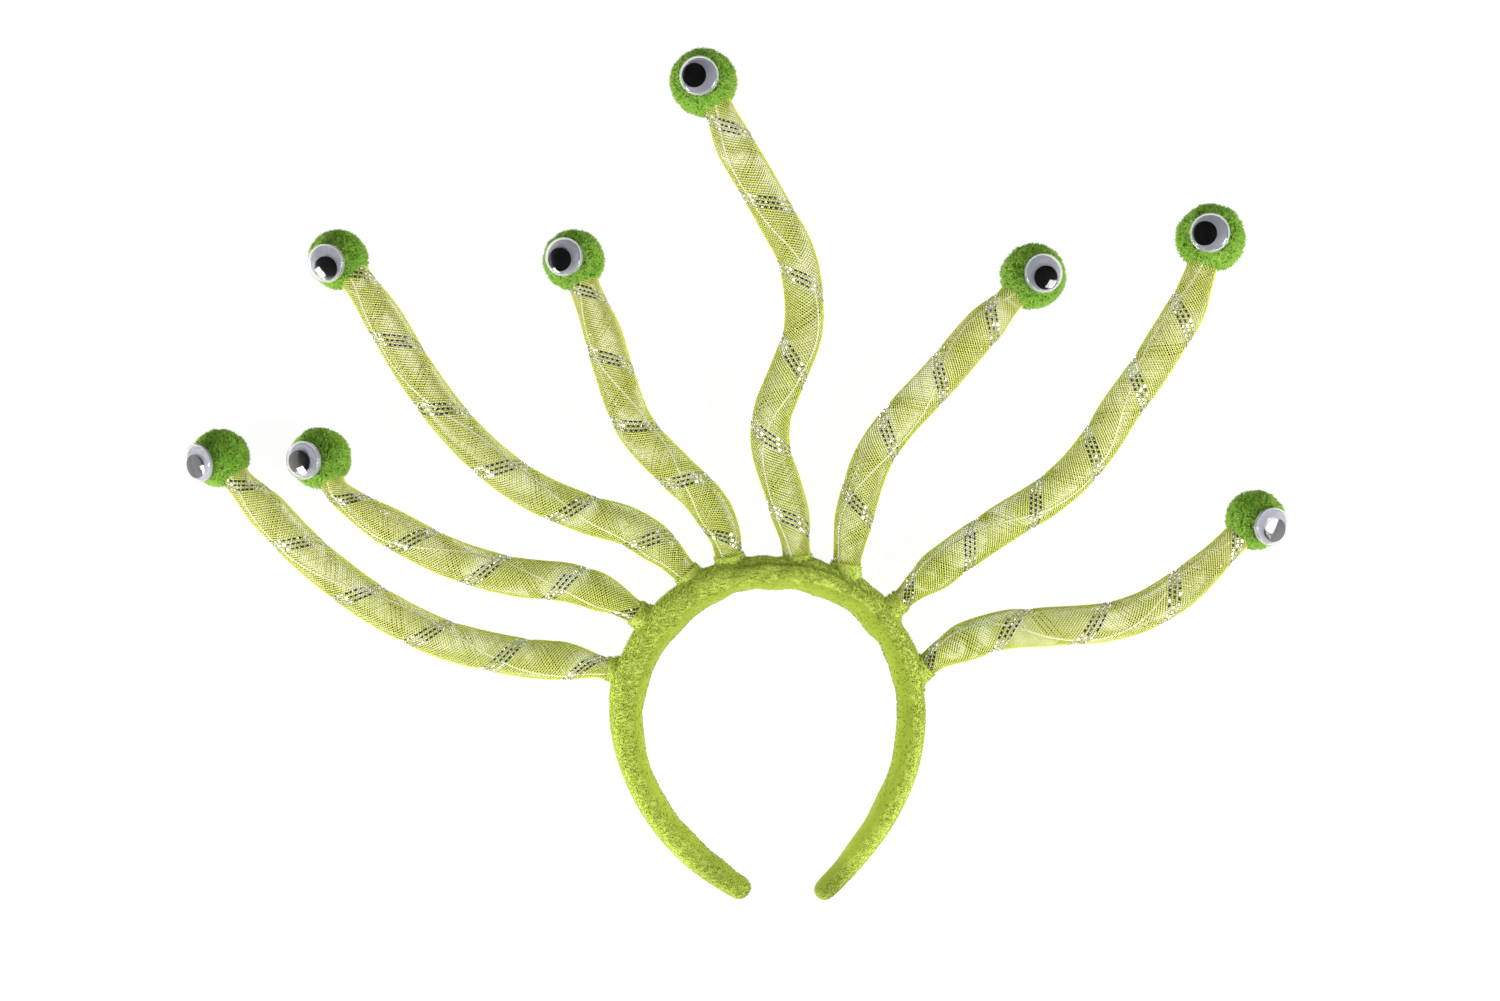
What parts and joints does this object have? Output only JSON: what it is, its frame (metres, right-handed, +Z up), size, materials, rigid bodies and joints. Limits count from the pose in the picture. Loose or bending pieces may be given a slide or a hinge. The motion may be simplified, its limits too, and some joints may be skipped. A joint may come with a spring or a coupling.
{
  "type": "monster headband",
  "caption": "Plush padded headband with wavy net stalks on wires, each ending in a pompom with a googly eye, lying flat.",
  "frame": {"origin": "centre of the lying headband's outline, on the surface that it lies on", "axes": "+X across the headband to its right, +Y from the open tips towards the stalks, +Z up from the surface"},
  "size_m": [0.5165, 0.3974, 0.0583],
  "materials": {
    "plush": "short pile plush",
    "net": "braided net with tinsel strips",
    "wire": "bright",
    "yarn": "fluffy pile",
    "eye_white": "gloss",
    "eye_clear": "clear gloss",
    "eye_black": "gloss"
  },
  "bodies": {
    "headband": {"plush_band": "plush", "stalk_net_1": "net", "stalk_net_2": "net", "stalk_net_3": "net", "stalk_net_4": "net", "stalk_net_5": "net", "stalk_net_6": "net", "stalk_net_7": "net", "stalk_net_8": "net", "stalk_wire_1": "wire", "stalk_wire_2": "wire", "stalk_wire_3": "wire", "stalk_wire_4": "wire", "stalk_wire_5": "wire", "stalk_wire_6": "wire", "stalk_wire_7": "wire", "stalk_wire_8": "wire", "pompom_1": "yarn", "pompom_2": "yarn", "pompom_3": "yarn", "pompom_4": "yarn", "pompom_5": "yarn", "pompom_6": "yarn", "pompom_7": "yarn", "pompom_8": "yarn", "eye_back_1": "eye_white", "eye_back_2": "eye_white", "eye_back_3": "eye_white", "eye_back_4": "eye_white", "eye_back_5": "eye_white", "eye_back_6": "eye_white", "eye_back_7": "eye_white", "eye_back_8": "eye_white", "eye_dome_1": "eye_clear", "eye_dome_2": "eye_clear", "eye_dome_3": "eye_clear", "eye_dome_4": "eye_clear", "eye_dome_5": "eye_clear", "eye_dome_6": "eye_clear", "eye_dome_7": "eye_clear", "eye_dome_8": "eye_clear"},
    "pupil_1": {"eye_pupil_1": "eye_black"},
    "pupil_2": {"eye_pupil_2": "eye_black"},
    "pupil_3": {"eye_pupil_3": "eye_black"},
    "pupil_4": {"eye_pupil_4": "eye_black"},
    "pupil_5": {"eye_pupil_5": "eye_black"},
    "pupil_6": {"eye_pupil_6": "eye_black"},
    "pupil_7": {"eye_pupil_7": "eye_black"},
    "pupil_8": {"eye_pupil_8": "eye_black"}
  },
  "joints": [
    {"name": "pupil_1_roll", "type": "hinge", "parent": "headband", "child": "pupil_1", "pos_m": [-0.24932, 0.00886, 0.0221], "axis": [-0.6, -0.2, 0.7746], "continuous": true},
    {"name": "pupil_2_roll", "type": "hinge", "parent": "headband", "child": "pupil_2", "pos_m": [-0.19984, 0.01008, 0.02504], "axis": [-0.39, -0.09, 0.9164], "continuous": true},
    {"name": "pupil_3_roll", "type": "hinge", "parent": "headband", "child": "pupil_3", "pos_m": [-0.18959, 0.10195, 0.0245], "axis": [-0.25, -0.23, 0.9405], "continuous": true},
    {"name": "pupil_4_roll", "type": "hinge", "parent": "headband", "child": "pupil_4", "pos_m": [-0.0789, 0.10432, 0.02569], "axis": [-0.25, 0.01, 0.9682], "continuous": true},
    {"name": "pupil_5_roll", "type": "hinge", "parent": "headband", "child": "pupil_5", "pos_m": [-0.01588, 0.18427, 0.04811], "axis": [-0.11, 0.02, 0.9937], "continuous": true},
    {"name": "pupil_6_roll", "type": "hinge", "parent": "headband", "child": "pupil_6", "pos_m": [0.14123, 0.0954, 0.03926], "axis": [0.2, 0, 0.9798], "continuous": true},
    {"name": "pupil_7_roll", "type": "hinge", "parent": "headband", "child": "pupil_7", "pos_m": [0.21558, 0.11226, 0.05264], "axis": [-0.21, 0.04, 0.9769], "continuous": true},
    {"name": "pupil_8_roll", "type": "hinge", "parent": "headband", "child": "pupil_8", "pos_m": [0.24934, -0.02053, 0.024], "axis": [0.38, -0.22, 0.8984], "continuous": true}
  ]
}
